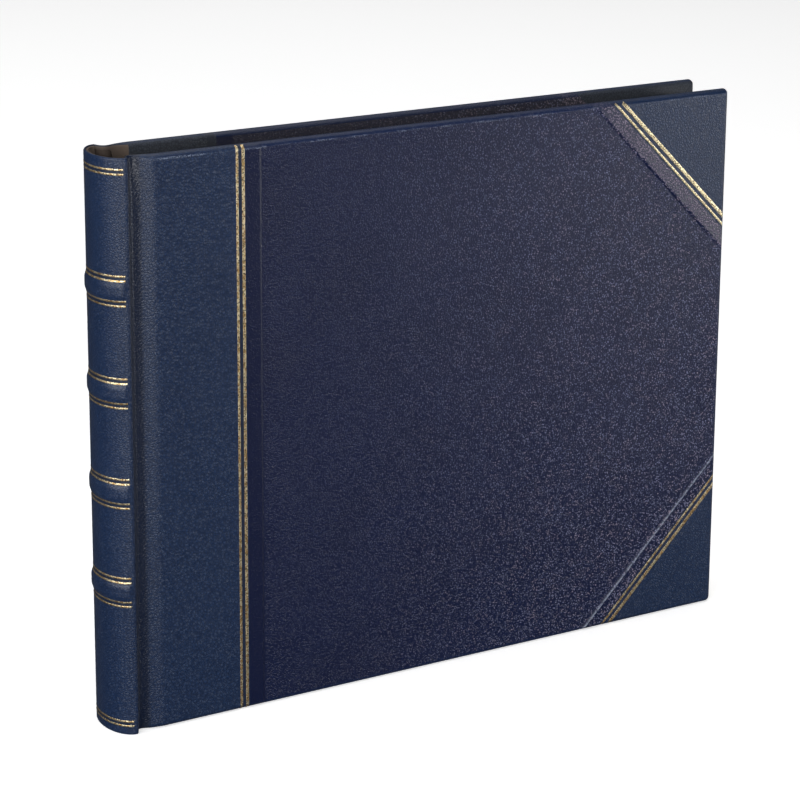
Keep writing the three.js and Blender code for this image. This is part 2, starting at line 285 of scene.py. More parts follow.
# ---- Materials ------------------------------------------------------------------------------
class Shader:
    """A small builder for node materials; coordinates are the rest position in metres."""

    def __init__(self, name, on_cad=False):
        self.material = bpy.data.materials.new(name)
        self.material.use_nodes = True
        self.tree = self.material.node_tree
        self.bsdf = self.tree.nodes["Principled BSDF"]
        if on_cad:
            self.place = self.tree.nodes.new("ShaderNodeTexCoord").outputs["Object"]
        else:
            node = self.tree.nodes.new("ShaderNodeAttribute")
            node.attribute_name = "rest"
            self.place = node.outputs["Vector"]
        split = self.node("ShaderNodeSeparateXYZ", Vector=self.place)
        self.x, self.y, self.z = split.outputs

    def node(self, kind, settings=None, **inputs):
        made = self.tree.nodes.new(kind)
        for key, value in (settings or {}).items():
            setattr(made, key, value)
        for key, value in inputs.items():
            self.put(made.inputs[key.replace("_", " ")], value)
        return made

    def put(self, socket, value):
        if isinstance(value, bpy.types.NodeSocket):
            self.tree.links.new(value, socket)
        elif isinstance(value, (tuple, list)) and len(value) == 3 and socket.type == "RGBA":
            socket.default_value = (*value, 1)
        else:
            socket.default_value = value

    def operate(self, kind, operation, *values):
        made = self.node(kind, {"operation": operation})
        for socket, value in zip(made.inputs, values):
            self.put(socket, value)
        return made.outputs[0]

    def math(self, operation, a, b=0.0, c=0.0):
        return self.operate("ShaderNodeMath", operation, a, b, c)

    def vectors(self, operation, *values):
        return self.operate("ShaderNodeVectorMath", operation, *values)

    def times(self, a, b):
        return self.math("MULTIPLY", a, b)

    def larger(self, a, b):
        return self.math("MAXIMUM", a, b)

    def minus(self, a, b):
        return self.math("SUBTRACT", a, b)

    def step(self, value, low, high, out_low=0.0, out_high=1.0):
        """Smooth step of value from low to high."""
        made = self.node("ShaderNodeMapRange", {"interpolation_type": "SMOOTHSTEP"})
        for socket, entry in zip(made.inputs, (value, low, high, out_low, out_high)):
            self.put(socket, entry)
        return made.outputs[0]

    def mix(self, share, a, b):
        made = self.tree.nodes.new("ShaderNodeMix")
        made.data_type = "RGBA"
        self.put(made.inputs[0], share)
        self.put(made.inputs[6], a)
        self.put(made.inputs[7], b)
        return made.outputs[2]

    def tint(self, base, mask, strength, colour):
        """Colour over base where mask is 1."""
        return self.mix(self.times(mask, strength), base, colour)

    def noise(self, size, detail=3.0, rough=0.5, stretch=None):
        """Noise with features of about size millimetres."""
        vector = self.vectors("MULTIPLY", self.place, stretch) if stretch else self.place
        scale = 1 / (size * MM)
        made = self.node(
            "ShaderNodeTexNoise", Vector=vector, Scale=scale, Detail=detail, Roughness=rough
        )
        return made.outputs["Fac"]

    def cells(self, size, feature="F1", place=None):
        """Cells about size millimetres wide: distance from the point, or edge, and colour."""
        made = self.node(
            "ShaderNodeTexVoronoi",
            {"feature": feature},
            Vector=place or self.place,
            Scale=1 / (size * MM),
        )
        return made.outputs["Distance"], made.outputs.get("Color")

    def shaken(self, size, amount):
        """The place, moved about by a noise, in millimetres."""
        made = self.node("ShaderNodeTexNoise", Vector=self.place, Scale=1 / (size * MM))
        centred = self.vectors("SUBTRACT", made.outputs["Color"], (0.5, 0.5, 0.5))
        return self.vectors("MULTIPLY_ADD", centred, (amount * MM,) * 3, self.place)

    def bump(self, height, depth, strength=1.0):
        """Relief of height 0 to 1 over depth millimetres."""
        made = self.node("ShaderNodeBump", Height=height, Distance=depth * MM, Strength=strength)
        return made.outputs["Normal"]

    def set(self, **inputs):
        for key, value in inputs.items():
            self.put(self.bsdf.inputs[key.replace("_", " ")], value)
        return self.material

    def window(self, value, centre, half, soft):
        """1 within half millimetres of centre (in metres), falling to 0 over soft more."""
        away = self.math("ABSOLUTE", self.minus(value, centre))
        return self.step(away, half * MM, (half + soft) * MM, 1.0, 0.0)

    def from_end(self):
        """Distance from the nearer of head and tail, in metres."""
        return self.math("MINIMUM", self.z, self.minus(HEIGHT * MM, self.z))

    def inset(self):
        """Distance inside the cover's outline, in metres."""
        return self.math("MINIMUM", self.from_end(), self.minus(frame_x(WIDTH), self.x))

    def head_edge_highlight(self):
        """Painted highlight: a broken light line along the head edge, at the start of its
        rounding.
        """
        line = self.window(self.z, (HEIGHT - 1.7) * MM, 0.15, 0.4)
        spots = self.step(self.noise(0.5, 3, 0.6), 0.44, 0.62)
        places = self.step(self.noise(8, 2), 0.42, 0.6, 0.12, 1.0)
        outer = self.step(self.math("ABSOLUTE", self.y), (FACE - 2.4) * MM, (FACE - 2.0) * MM)
        return self.times(self.times(line, outer), self.times(spots, places))

    def turned_in(self):
        """1 on the inner faces of the covers."""
        away = self.math("ABSOLUTE", self.y)
        on_board = self.step(self.x, frame_x(LIP_START), frame_x(LIP_START + 1))
        inner = self.step(away, (INSIDE + 0.9) * MM, (INSIDE + 0.3) * MM)
        return self.times(inner, on_board)


def leather():
    """Pebbled navy leather with light specks."""
    s = Shader("leather")
    tone = s.noise(38, 3)
    blotch = s.noise(9, 4, 0.6)
    grain_place = s.shaken(1.4, 0.55)
    distance, pick = s.cells(0.95, "F1", grain_place)
    to_edge, _ = s.cells(0.95, "DISTANCE_TO_EDGE", grain_place)
    crease = s.step(to_edge, 0.0, 0.22)
    pebble = s.times(crease, s.step(distance, 0.9, 0.0, 0.55, 1.0))
    fine = s.noise(0.28, 3, 0.6)
    height = s.math("MULTIPLY_ADD", fine, 0.28, pebble)
    # The leather is pressed smooth between the gold lines, across the spine and along the cover.
    on_spine = s.step(s.x, frame_x(-3.2), frame_x(-4.4))
    pitch = (BANDS[1] - BANDS[0]) * MM
    half, soft = 0.9, 0.4
    from_band = s.math("PINGPONG", s.minus(s.z, BANDS[0] * MM), pitch / 2)
    across = s.window(from_band, PAIR_OFFSET * MM, half, soft)
    middle, reach = (BANDS[0] + BANDS[-1]) / 2, (BANDS[-1] - BANDS[0]) / 2 + 6
    across = s.times(across, s.window(s.z, middle * MM, reach, soft))
    for z in (HEIGHT - PAIR_INSET[0], PAIR_INSET[1]):
        across = s.larger(across, s.window(s.z, z * MM, half, soft))
    upright_x = sum(x for x, _ in UPRIGHT_LINES) / 2
    upright = s.window(s.x, frame_x(upright_x), 1.3, soft)
    pressed = s.larger(s.times(across, on_spine), upright)
    calm = s.minus(1.0, s.times(pressed, 0.8))

    base = s.mix(s.step(tone, 0.35, 0.65), (0.0026, 0.0135, 0.0475), (0.0034, 0.0158, 0.053))
    base = s.mix(s.step(blotch, 0.35, 0.75, 0.0, 0.35), base, (0.0055, 0.02, 0.06))
    seam = s.minus(1.0, crease)
    base = s.tint(base, seam, 0.6, (0.001, 0.006, 0.024))
    speck = s.times(s.step(distance, 0.46, 0.18), s.step(pick, 0.45, 0.72))
    base = s.tint(base, speck, 0.45, (0.028, 0.045, 0.085))
    # Painted shade darkens the joint's groove, and the turn-ins have lost some of their dye.
    joint = s.window(s.x, frame_x(0.2), 1.9, 1.8)
    base = s.tint(base, joint, 0.8, (0.0004, 0.004, 0.018))
    faded = s.mix(crease, (0.009, 0.012, 0.017), (0.032, 0.037, 0.046))
    base = s.tint(base, s.turned_in(), 0.75, faded)
    # Painted highlight along the head edge, at the start of its rounding.
    base = s.tint(base, s.head_edge_highlight(), 0.75, (0.16, 0.19, 0.26))
    base = s.tint(base, pressed, 0.6, (0.006, 0.01, 0.022))
    gloss = s.step(s.noise(0.9, 3), 0.3, 0.7, 0.34, 0.44)
    gloss = s.math("MULTIPLY_ADD", s.turned_in(), 0.2, gloss)
    return s.set(
        Base_Color=base,
        Roughness=gloss,
        Specular_IOR_Level=0.5,
        Sheen_Weight=0.04,
        Sheen_Roughness=0.4,
        Normal=s.bump(height, 0.055, calm),
    )


def side_cloth():
    """Beaded book cloth: round grains, some of them rubbed light into flecks, with painted sheen,
    highlights, shade and reflection on it.
    """
    s = Shader("side_cloth")
    tone = s.noise(30, 3)
    grain = s.shaken(0.7, 0.2)
    distance, pick = s.cells(0.7, "F1", grain)
    round_bead = s.step(distance, 0.68, 0.1)
    fine = s.noise(0.3, 4, 0.7)
    fleck = s.times(s.step(distance, 0.56, 0.24), s.step(pick, 0.34, 0.6))
    height = s.math("MULTIPLY_ADD", fine, 0.35, s.math("MULTIPLY_ADD", fleck, 1.2, round_bead))
    # Where the cloth lies over the leather, and along the edges, it is rubbed down smooth, and
    # painted shade and painted reflection change its colour there.
    strip = s.step(s.x, frame_x(LEATHER_EDGE + 7.2), frame_x(LEATHER_EDGE + 5.6))
    rim = s.step(s.inset(), 1.75 * MM, 1.45 * MM)
    worn = s.larger(strip, s.times(rim, 0.85))
    calm = s.minus(1.0, s.times(worn, 0.7))
    # Painted sheen: the flecks are lighter towards the fore edge.
    fleck = s.times(fleck, s.step(s.x, frame_x(50), frame_x(230), 0.08, 1.0))
    fleck = s.times(fleck, calm)
    # Where the cloth laps over the leather corners, painted sheen lightens it at the head with
    # denser, warmer flecks, and at the tail a painted highlight runs along the step down to the
    # board.
    across = s.math("ADD", s.from_end(), s.minus(frame_x(WIDTH - CORNER_LEG), s.x))
    lap = STRIP["corner"][0] * math.sqrt(2) * MM
    on_lap = s.step(across, lap + 0.8 * MM, lap)
    upper = s.step(s.z, HEIGHT * 0.3 * MM, HEIGHT * 0.7 * MM)
    on_lap = s.times(on_lap, upper)
    head_lap_sheen = s.times(s.step(distance, 0.6, 0.25), on_lap)
    fleck = s.larger(fleck, s.times(head_lap_sheen, 0.6))
    # Painted highlight along the tail corner's step down to the board.
    tail_step_highlight = s.window(across, lap + 0.2 * MM, 0.15, 0.35)
    tail_step_highlight = s.times(tail_step_highlight, s.minus(1.0, upper))
    tail_step_highlight = s.times(tail_step_highlight, s.step(s.noise(1.3, 4, 0.7), 0.36, 0.62, 0.1, 0.75))
    # Warm fleck colour: partly random cells, partly painted sheen over the head lap.
    warm_tone_and_sheen = s.larger(s.step(s.cells(2.3, "F1", grain)[1], 0.5, 0.7), on_lap)
    base = s.mix(s.step(tone, 0.35, 0.65), (0.0007, 0.0048, 0.034), (0.001, 0.006, 0.039))
    gap = s.times(s.minus(1.0, round_bead), calm)
    base = s.tint(base, gap, 0.5, (0.0006, 0.0028, 0.02))
    base = s.tint(base, s.turned_in(), 0.6, (0.022, 0.021, 0.031))
    light = s.mix(warm_tone_and_sheen, (0.17, 0.175, 0.28), (0.22, 0.18, 0.24))
    base = s.tint(base, fleck, 0.9, light)
    # Painted shade darkens the cloth's strip over the leather beside the spine.
    base = s.tint(base, strip, 0.8, (0.0008, 0.0034, 0.024))
    # Painted reflection tints the cloth's edges a lighter teal.
    base = s.tint(base, rim, 0.6, (0.003, 0.012, 0.045))
    # Painted highlight along the head edge, at the start of its rounding.
    base = s.tint(base, s.head_edge_highlight(), 0.5, (0.17, 0.2, 0.28))
    # Painted highlight on the tail corner's step.
    base = s.mix(tail_step_highlight, base, (0.21, 0.24, 0.31))
    return s.set(
        Base_Color=base,
        Roughness=s.step(s.noise(0.5, 3), 0.3, 0.7, 0.31, 0.43),
        Specular_IOR_Level=0.5,
        Sheen_Weight=0.03,
        Sheen_Roughness=0.35,
        Sheen_Tint=(0.85, 0.88, 1.0),
        Normal=s.bump(height, 0.1, calm),
    )


def gold():
    """Pitted gold foil, browned with age; painted sheen keeps it brighter and less browned at the
    head corner.
    """
    s = Shader("gold_foil")
    distance, pick = s.cells(0.5)
    pit = s.times(s.step(distance, 0.52, 0.36), s.step(pick, 0.42, 0.52))
    worn = s.larger(pit, s.step(s.noise(0.8, 4, 0.65), 0.62, 0.7))
    corner = WIDTH - CORNER_LEG
    # Painted sheen: less browning on the foil at the head corner.
    head_corner_sheen = s.step(s.x, frame_x(corner), frame_x(corner + 5))
    head_corner_sheen = s.times(head_corner_sheen, s.step(s.z, HEIGHT / 2 * MM, HEIGHT * 0.6 * MM))
    most = s.math("MULTIPLY_ADD", head_corner_sheen, -0.75, 1.0)
    aged = s.step(s.noise(1.1, 4, 0.65), 0.4, 0.62, 0.0, most)
    tone = s.mix(aged, (1.0, 0.88, 0.58), (0.6, 0.38, 0.15))
    base = s.mix(worn, tone, (0.1, 0.06, 0.03))
    return s.set(
        Base_Color=base,
        Metallic=s.minus(1.0, s.times(worn, 0.7)),
        Roughness=s.step(s.noise(0.4, 3), 0.3, 0.7, 0.36, 0.52),
        Normal=s.bump(s.noise(0.45, 3), 0.11),
    )


def paper(name, light, dark, on_cad=False, ruled=False):
    """Uncoated paper with fibres; ruled pages carry a plain ledger grid."""
    s = Shader(name, on_cad)
    fibre = s.noise(0.7, 5, 0.7, stretch=(1, 1, 0.35))
    cloud = s.noise(14, 3)
    base = s.mix(s.step(cloud, 0.3, 0.7), dark, light)
    base = s.mix(s.step(fibre, 0.55, 0.75, 0.0, 0.25), base, tuple(c * 0.8 for c in dark))
    if ruled:
        def lines(value, start, pitch, width):
            away = s.math("PINGPONG", s.minus(value, start), pitch * MM / 2)
            return s.step(away, width * MM, width * 2 * MM, 1.0, 0.0)

        left, right = frame_x(leaf_lo.x + 12), frame_x(leaf_hi.x - 8)
        low, high = (leaf_lo.z + 12) * MM, (leaf_hi.z - 12) * MM
        soft = 0.2 * MM
        rows = lines(s.z, low, RULE_PITCH, 0.07)
        columns = lines(s.x, left, COLUMN_PITCH, 0.09)
        inside = s.step(s.x, left - soft, left)
        for edge in (
            s.step(s.x, right, right + soft, 1.0, 0.0),
            s.step(s.z, low - soft, low),
            s.step(s.z, high, high + soft, 1.0, 0.0),
        ):
            inside = s.times(inside, edge)
        header = s.window(s.z, high - RULE_PITCH * MM, 6.0, 0.3)
        # Only the two faces of a leaf are ruled, not its edges.
        facing = s.tree.nodes.new("ShaderNodeNewGeometry")
        turned = s.node(
            "ShaderNodeVectorTransform", {"vector_type": "NORMAL", "convert_to": "OBJECT"}
        )
        s.put(turned.inputs[0], facing.outputs["Normal"])
        parts = s.node("ShaderNodeSeparateXYZ", Vector=turned.outputs[0])
        flat = s.step(s.math("ABSOLUTE", parts.outputs["Y"]), 0.6, 0.8)
        inside = s.times(inside, flat)
        ink = s.times(s.larger(rows, columns), inside)
        base = s.tint(base, s.times(header, inside), 0.35, (0.42, 0.56, 0.6))
        base = s.tint(base, ink, 0.75, (0.12, 0.28, 0.38))
    return s.set(
        Base_Color=base,
        Roughness=0.85,
        Specular_IOR_Level=0.25,
        Normal=s.bump(fibre, 0.03),
    )


def card(name, light, dark, depth=0.06):
    """Pulp board with coarse fibres and flecks, for CAD nodes."""
    s = Shader(name, on_cad=True)
    fibre = s.noise(0.9, 6, 0.7, stretch=(1, 1, 0.3))
    fleck, _ = s.cells(1.6)
    base = s.mix(s.step(s.noise(7, 4), 0.3, 0.7), dark, light)
    base = s.mix(s.step(fibre, 0.5, 0.72, 0.0, 0.5), base, tuple(c * 0.6 for c in dark))
    base = s.mix(s.step(fleck, 0.16, 0.06, 0.0, 0.6), base, tuple(c * 1.3 for c in light))
    return s.set(
        Base_Color=base,
        Roughness=0.92,
        Specular_IOR_Level=0.2,
        Normal=s.bump(fibre, depth),
    )


def weave(name, light, dark, pitch, cover=0.55):
    """Plain weave for CAD nodes, of threads pitch millimetres apart, along y or x and along z."""
    s = Shader(name, on_cad=True)
    along = s.math("ADD", s.x, s.y)
    turn = math.pi / (pitch * MM)
    warp = s.math("SINE", s.times(along, turn))
    weft = s.math("SINE", s.times(s.z, turn))
    over = s.times(warp, weft)
    threads = s.larger(s.math("ABSOLUTE", warp), s.math("ABSOLUTE", weft))
    height = s.math("MULTIPLY_ADD", over, 0.4, threads)
    base = s.mix(s.step(threads, cover, 1.0), dark, light)
    base = s.mix(s.step(s.noise(3, 4), 0.35, 0.7, 0.0, 0.3), base, dark)
    return s.set(
        Base_Color=base,
        Roughness=0.95,
        Specular_IOR_Level=0.15,
        Normal=s.bump(height, 0.08),
    )


def thread(name, light, dark):
    """Silk or linen, with a faint lustre."""
    s = Shader(name)
    strands = s.noise(0.12, 3, 0.6)
    base = s.mix(s.step(strands, 0.35, 0.7), dark, light)
    return s.set(
        Base_Color=base,
        Roughness=0.6,
        Sheen_Weight=0.3,
        Sheen_Roughness=0.3,
        Normal=s.bump(strands, 0.03),
    )


LEATHER = leather()
CLOTH = side_cloth()
GOLD = gold()
PAGE = paper("page_paper", (0.8, 0.75, 0.62), (0.74, 0.68, 0.54), ruled=True)
ENDPAPER_LOOK = ((0.5, 0.43, 0.32), (0.43, 0.36, 0.26))
ENDPAPER = paper("endpaper", *ENDPAPER_LOOK)
SILK_DARK = thread("silk_navy", (0.03, 0.05, 0.14), (0.012, 0.02, 0.06))
SILK_LIGHT = thread("silk_cream", (0.75, 0.68, 0.5), (0.5, 0.43, 0.3))
LINEN = thread("linen_thread", (0.74, 0.68, 0.54), (0.5, 0.44, 0.33))
BACKING = paper("backing_paper", (0.125, 0.095, 0.078), (0.085, 0.066, 0.056))
CAD_LOOKS = {
    "front_board back_board": card("grey_board", (0.27, 0.25, 0.22), (0.2, 0.185, 0.16)),
    "spine_inlay": card("inlay_card", (0.135, 0.105, 0.088), (0.095, 0.074, 0.062), 0.04),
    "raised_band_1 raised_band_2 raised_band_3 raised_band_4": card(
        "band_card", (0.27, 0.21, 0.16), (0.2, 0.15, 0.11)
    ),
    "front_pastedown back_pastedown": paper("pastedown_paper", *ENDPAPER_LOOK, on_cad=True),
    "front_mull_flap back_mull_flap mull_spine": weave(
        "mull", (0.66, 0.62, 0.52), (0.3, 0.27, 0.21), 0.9, cover=0.75
    ),
    "sewing_tape_1 sewing_tape_2 sewing_tape_3": weave(
        "tape", (0.72, 0.68, 0.58), (0.5, 0.46, 0.37), 0.45
    ),
    "back_lining": card("kraft", (0.36, 0.24, 0.13), (0.28, 0.18, 0.09), 0.03),
}
for names, look in CAD_LOOKS.items():
    for node_name in names.split():
        frame["nodes"][node_name].material_slots[0].material = look


# ---- Leather of the spine, joints and quarters ------------------------------------------------
def band_rise(z, share):
    """How far the leather stands out over the raised bands."""
    away = min(abs(z - centre) for centre in BANDS)
    return BAND_RISE * share * (1 - smooth((away - BAND_FLAT) / BAND_FALL))


def band_share(degrees):
    return 1 - smooth((degrees - 70) / 15)


def pinch(z):
    """Extra depth of the joint's groove near head and tail."""
    from_end = min(z, HEIGHT - z)
    return GROOVE_PINCH * math.exp(-((from_end / PINCH_LENGTH) ** 2))


def case_stations():
    """The front half in plan, from the middle of the spine to the edge of the quarter leather."""
    plan = [(-BULGE + SPINE_X, 0.0, 0), (-BULGE + SPINE_X, -0.15, 0)]
    for degrees in [2 + 88 * i / 34 for i in range(35)]:
        a = math.radians(degrees)
        plan.append((SPINE_X - BULGE * math.cos(a), -SHOULDER * math.sin(a), degrees))
    for i in range(1, 11):
        x = lerp(SPINE_X, GROOVE_X, i / 10)
        plan.append((x, -lerp(SHOULDER, GROOVE_FLOOR, wave((i / 10) ** 0.72)), 90))
    for t in [i / 18 for i in range(1, 19)]:
        rise = t - math.sin(2 * math.pi * t) / (2 * math.pi)
        plan.append((lerp(GROOVE_X, BEVEL_END, t), -lerp(GROOVE_FLOOR, FACE, rise), 90))
    for x in (BEVEL_END + FLAT, 12, 16, 21, 27, 34, 38, 40.5, LEATHER_EDGE):
        plan.append((x, -FACE, 90))
    stations = []
    for i, (x, y, degrees) in enumerate(plan):
        before, after = plan[max(i - 1, 0)], plan[min(i + 1, len(plan) - 1)]
        along = Vector((after[0] - before[0], after[1] - before[1]))
        if i < 2:
            along = Vector((0, -1))
        normal = Vector((along.y, -along.x)).normalized()
        groove = 0.0  # share of the groove's extra depth at head and tail
        if x > SPINE_X and degrees == 90:
            reach = 3.0 if x < GROOVE_X else 3.6
            groove = math.cos(math.pi / 2 * min(abs(x - GROOVE_X) / reach, 1)) ** 2
        spine_part = 1 - smooth((x - SPINE_X) / (GROOVE_X - SPINE_X))
        if x <= GROOVE_X:
            depth = lerp(1.35, RIM_DEPTH, spine_part)
        else:
            inside = lerp(JOINT_INSIDE, INSIDE, smooth((x - GROOVE_X) / 3.1))
            depth = -y - pinch(0) * groove - inside
        board_part = smooth((x - LIP_START) / (board_lo.x + 0.6 - LIP_START))
        stations.append(
            {
                "x": x,
                "y": y,
                "normal": normal,
                "groove": groove,
                "bands": band_share(degrees) if degrees < 90 else 0.0,
                "depth": depth,
                "lip": lerp(RIM_LIP, TURN_IN_WIDTH, board_part),
                "skin": lerp(SPINE_SKIN, SKIN, board_part),
                "outer_edge": lerp(RIM_EDGE, EDGE, smooth((x - 2) / 5)),
                "inner_edge": lerp(RIM_EDGE, INNER_EDGE, smooth((x - 2) / 5)),
            }
        )
    return stations


def face_rows():
    """Heights of the rows across the leather, closer together over the bands."""
    rows = {2.2, 3.0, 4.2, 5.6, 7.4, 9.6, 12.5, 16, 21, 27, 33}
    rows |= {HEIGHT - z for z in rows}
    for centre in BANDS:
        for away in (0, 0.8, 1.4, 1.9, 2.4, 2.9, 3.4, 4.0, 4.8, 6.5, 10):
            rows |= {centre + away, centre - away}
    rows |= {(a + b) / 2 for a, b in zip(BANDS, BANDS[1:])}
    return sorted(rows)


def rim_profile(st):
    """The turned-over edge as (depth, drop from the head), from outer face to inner skin."""
    half, depth, lip = st["depth"] / 2, st["depth"], st["lip"]
    outer, inner = st["outer_edge"], st["inner_edge"]
    profile = [(half * d, outer * u) for u, d in ROUND_OVER]
    profile += [(depth - half * d, inner * u) for u, d in reversed(ROUND_OVER[:-1])]
    profile += [(depth, lerp(inner, lip, share)) for share in (0.4, 0.8, 1.0)]
    thin = depth - min(TURN_IN, half * 0.5)
    profile += [(thin, lip), (thin, lerp(lip, inner + 0.2, 0.6)), (thin, inner + 0.2)]
    profile += [(lerp(half, thin, 0.3), 0.5), (lerp(half, st["skin"], 0.3), 0.5)]
    profile += [(min(st["skin"], half * 0.8), outer + 0.3)]
    return profile


def case_point(st, depth, z):
    out = band_rise(z, st["bands"]) - pinch(z) * st["groove"] - depth
    at = Vector((st["x"], st["y"])) + st["normal"] * out
    return (at.x, at.y, z)


def case_half(side, mirror):
    """Leather from the middle of the spine, over the joint and on to the board."""
    rows = face_rows()
    inner_rows = [z for i, z in enumerate(rows) if i % 2 == 0]
    stations = case_stations()
    rings = []
    for st in stations:
        rim = rim_profile(st)
        ring = [case_point(st, 0.0, z) for z in rows]
        ring += [case_point(st, d, HEIGHT - drop) for d, drop in rim]
        for z in reversed(inner_rows):
            thin = st["skin"] - 0.35 * band_rise(z, st["bands"]) / BAND_RISE
            ring.append(case_point(st, thin, z))
        ring += [case_point(st, d, drop) for d, drop in reversed(rim)]
        rings.append(ring)
    points, faces = loft(rings)
    # Inside the spine and joints the leather is backed with paper up to its rim.
    turned = len(ROUND_OVER) + len(ROUND_OVER) // 2
    picks = []
    for st in stations[:-1]:
        lined = range(len(rows) + turned, len(rings[0]) - turned) if st["x"] < BACKED_TO else ()
        picks += [1 if j in lined else 0 for j in range(len(rings[0]))]
    picks += [0, 0]
    obj = make(f"case_leather_{side}", points, faces, [LEATHER, BACKING], mirror, picks=picks)
    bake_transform(obj)
    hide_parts(f"{side}_quarter_leather", "spine_leather")


for side, mirror in (FRONT, BACK):
    case_half(side, mirror)


# ---- Covers: side cloth and leather corners ---------------------------------------------------
def outline_point(station, u):
    """A point of the cover's outline, u millimetres inside it."""
    kind, value = station
    tight = max(u, PLAN_RADIUS)
    if kind == "head":
        return min(value, WIDTH - tight), HEIGHT - u
    if kind == "tail":
        return min(value, WIDTH - tight), u
    if kind == "fore":
        return WIDTH - u, min(max(value, tight), HEIGHT - tight)
    radius = max(PLAN_RADIUS - u, 0)
    x = WIDTH - tight + radius * math.sin(value)
    z = tight - radius * math.cos(value)
    return (x, HEIGHT - z) if kind == "head corner" else (x, z)


def cover_shell():
    """The covering round all free edges of the front board, as one closed mesh."""
    start, last = 30.0, WIDTH - 20
    turns = [math.pi / 2 * i / 6 for i in range(7)]
    stations = [("head", start), ("head", last)]
    stations += [("head corner", a) for a in turns]
    stations += [("fore", HEIGHT - 20), ("fore", 20)]
    stations += [("tail corner", a) for a in reversed(turns)]
    stations += [("tail", last), ("tail", start)]
    panel = TURN_IN_WIDTH + 1
    half = (FACE - INSIDE) / 2
    profile = [(panel, FACE), (EDGE + FLAT, FACE)]
    profile += [(EDGE * u, FACE - half * d) for u, d in ROUND_OVER]
    profile += [(INNER_EDGE * u, INSIDE + half * d) for u, d in reversed(ROUND_OVER[:-1])]
    profile += [
        (TURN_IN_WIDTH, INSIDE),
        (TURN_IN_WIDTH, INSIDE + TURN_IN),
        (INNER_EDGE + 0.2, INSIDE + TURN_IN),
        (SKIN, INSIDE + half * 0.7),
        (SKIN, FACE - half * 0.8),
        (EDGE + 0.2, FACE - SKIN),
        (panel, FACE - SKIN),
    ]
    mesh = bmesh.new()
    grid = []
    for station in stations:
        row = []
        for u, y in profile:
            x, z = outline_point(station, u)
            row.append(mesh.verts.new((x, -y, z)))
        grid.append(row)
    for a, b in zip(grid, grid[1:]):
        for j in range(len(profile) - 1):
            mesh.faces.new((a[j], a[j + 1], b[j + 1], b[j]))
    mesh.faces.new([row[0] for row in grid])
    mesh.faces.new([row[-1] for row in reversed(grid)])
    bmesh.ops.remove_doubles(mesh, verts=mesh.verts, dist=1e-4)
    bmesh.ops.dissolve_degenerate(mesh, edges=mesh.edges, dist=1e-4)
    bmesh.ops.recalc_face_normals(mesh, faces=mesh.faces)
    return mesh


def cut(mesh, point, normal, keep=False):
    """Cuts the mesh by a plane; without keep, what lies ahead of it goes and the cut is capped."""
    geometry = mesh.verts[:] + mesh.edges[:] + mesh.faces[:]
    result = bmesh.ops.bisect_plane(
        mesh, geom=geometry, dist=1e-5, plane_co=point, plane_no=normal, clear_outer=not keep
    )
    if not keep:
        edges = [g for g in result["geom_cut"] if isinstance(g, bmesh.types.BMEdge)]
        bmesh.ops.edgeloop_fill(mesh, edges=edges)


def diagonal(at_head, leg):
    """A point and the direction towards the corner, for a line across a fore-edge corner."""
    if at_head:
        return Vector((WIDTH - leg, 0, HEIGHT)), Vector((1, 0, 1)).normalized()
    return Vector((WIDTH - leg, 0, 0)), Vector((1, 0, -1)).normalized()


def strip_height(away, width, top):
    """Height of the cloth over its lowest level, from its edge on the leather inwards."""
    if away < width:
        return lerp(CLOTH_EDGE, top, away / width)
    return top * (1 - smooth((away - width) / RAMP))


def edge_share(x, z):
    """0 on the cover's outline, 1 where its face is flat."""
    return smooth((min(z, HEIGHT - z, WIDTH - x) - 0.3) / EDGE)


def side_sheet(side, mirror):
    mesh = cover_shell()
    cut(mesh, (LEATHER_EDGE, 0, 0), (-1, 0, 0))
    lines = [(Vector((LEATHER_EDGE, 0, 0)), Vector((-1, 0, 0)), *STRIP["spine"])]
    for at_head in (True, False):
        point, towards = diagonal(at_head, CORNER_LEG)
        cut(mesh, point, towards)
        lines.append((point, towards, *STRIP["corner"]))
    for point, towards, width, _ in lines:
        bends = [width + RAMP * i / 5 for i in range(6)]
        for away in (FLAT, width - FLAT, *bends, bends[-1] + FLAT):
            cut(mesh, point - towards * away, towards, keep=True)
    for vertex in mesh.verts:
        x, y, z = vertex.co
        if y > -FACE + EDGE:
            continue
        flat = vertex.co * Vector((1, 0, 1))
        height = max(
            strip_height(max((point - flat).dot(towards), 0), width, top)
            for point, towards, width, top in lines
        )
        if y < -(FACE - SKIN) - 1e-3 or edge_share(x, z) < 1:
            vertex.co.y += (CLOTH_DROP - height) * edge_share(x, z)
    emit(mesh, f"side_cloth_{side}", CLOTH, mirror, side, "side_sheet")


def emit(mesh, name, material, mirror, side, node):
    """Turns a bmesh in binding coordinates into a piece that rides on its cover."""
    for vertex in mesh.verts:
        vertex.co = to_frame([vertex.co], mirror)[0]
    bmesh.ops.recalc_face_normals(mesh, faces=mesh.faces)
    data = bpy.data.meshes.new(name)
    mesh.to_mesh(data)
    mesh.free()
    obj = finish_mesh(add_object(name, data), material, 34)
    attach(obj, f"{side}_cover")
    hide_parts(f"{side}_{node}")


def corner_leather(side, mirror, at_head):
    mesh = cover_shell()
    point, towards = diagonal(at_head, CORNER_LEG)
    cut(mesh, point, -towards)
    # The turned-in flaps meet in a mitre, which shows as a fine seam.
    tip = Vector((WIDTH, 0, HEIGHT if at_head else 0))
    across = Vector((1, 0, -1 if at_head else 1)).normalized()
    for away in (-0.35, 0.35):
        cut(mesh, tip + across * away, across, keep=True)
    for vertex in mesh.verts:
        flat = (vertex.co - tip) * Vector((1, 0, 1))
        if abs(flat.dot(across)) < 0.05 and abs(vertex.co.y + INSIDE) < 1e-3:
            vertex.co.y -= 0.2
    end = "head" if at_head else "tail"
    name = f"corner_leather_{end}_{side}"
    emit(mesh, name, LEATHER, mirror, side, f"corner_{end}")


